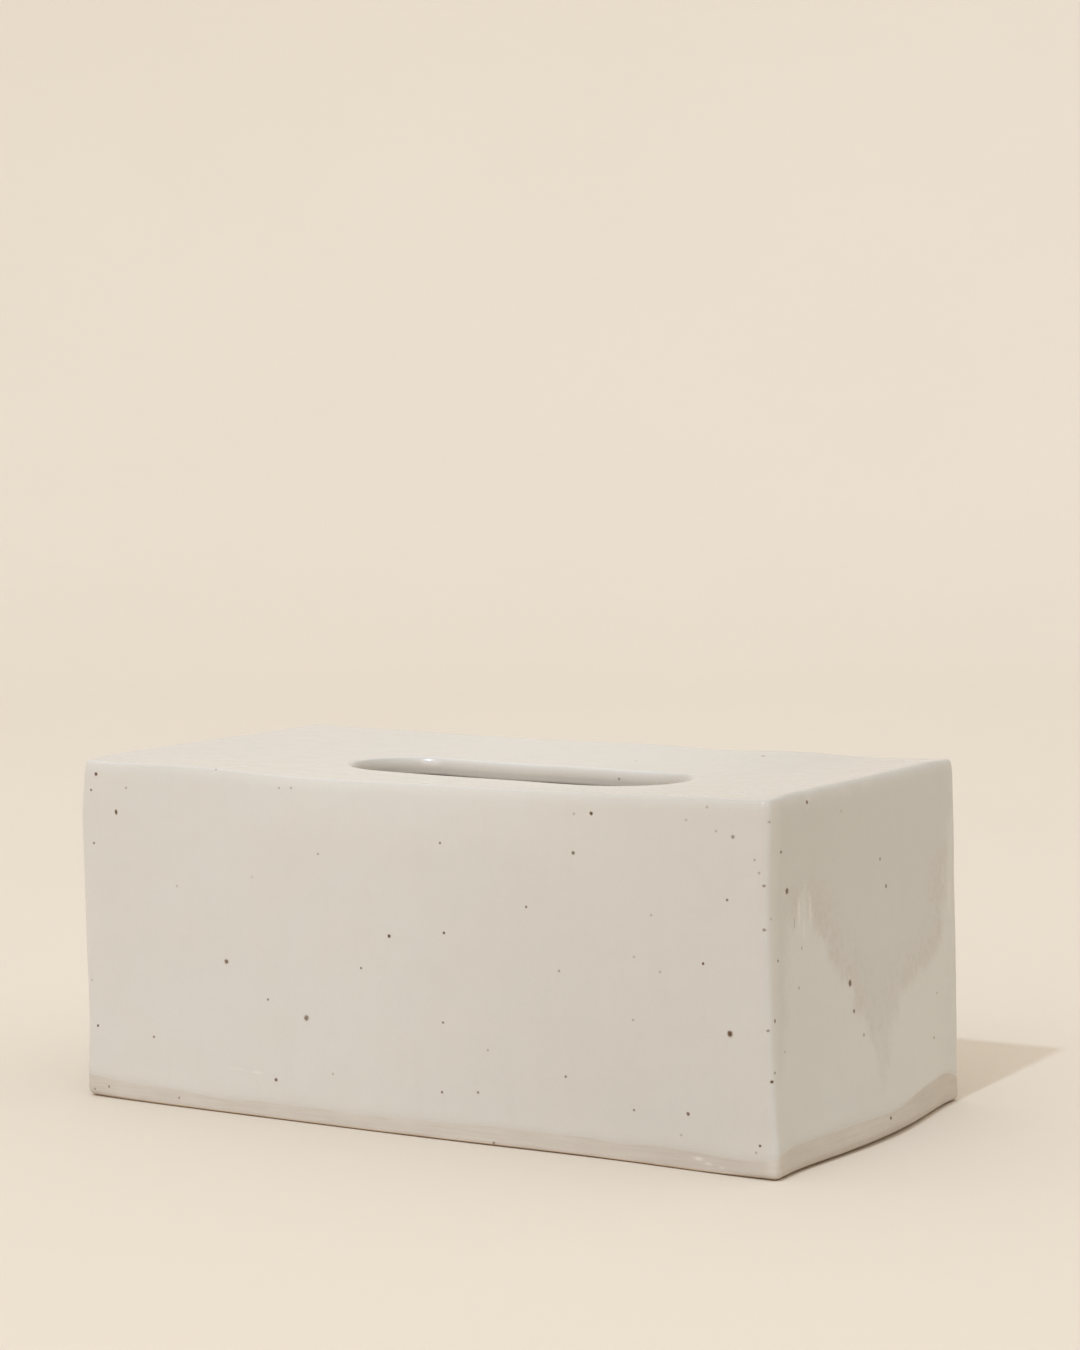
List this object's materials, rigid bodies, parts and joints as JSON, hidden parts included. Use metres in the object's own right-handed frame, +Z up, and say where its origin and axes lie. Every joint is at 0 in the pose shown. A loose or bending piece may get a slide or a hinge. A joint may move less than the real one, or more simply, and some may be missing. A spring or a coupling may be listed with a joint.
{
  "type": "tissue box cover",
  "caption": "Slab-built stoneware cover for a flat tissue carton: open-bottomed box with a stadium slot in a gently dished top, speckled satin oatmeal glaze and a bare clay foot.",
  "frame": {"origin": "centre of the foot's bounding rectangle, on the surface the cover stands on", "axes": "+X along the length, +Y from the front wall to the back wall, +Z up"},
  "size_m": [0.2664, 0.1376, 0.1138],
  "materials": {
    "stoneware_clay": "bare fired stoneware, dry and finely streaked",
    "coil_clay": "bare fired stoneware, pressed and smoothed by hand",
    "speckled_glaze": "satin oatmeal glaze with iron specks, thinner in a patch on one end"
  },
  "bodies": {
    "root": {"top_slab": "stoneware_clay", "front_slab": "stoneware_clay", "back_slab": "stoneware_clay", "left_end_slab": "stoneware_clay", "right_end_slab": "stoneware_clay", "coil_top_front": "coil_clay", "coil_top_back": "coil_clay", "coil_top_left": "coil_clay", "coil_top_right": "coil_clay", "coil_corner_front_left": "coil_clay", "coil_corner_front_right": "coil_clay", "coil_corner_back_left": "coil_clay", "coil_corner_back_right": "coil_clay", "glaze_coat": "speckled_glaze"}
  },
  "joints": []
}
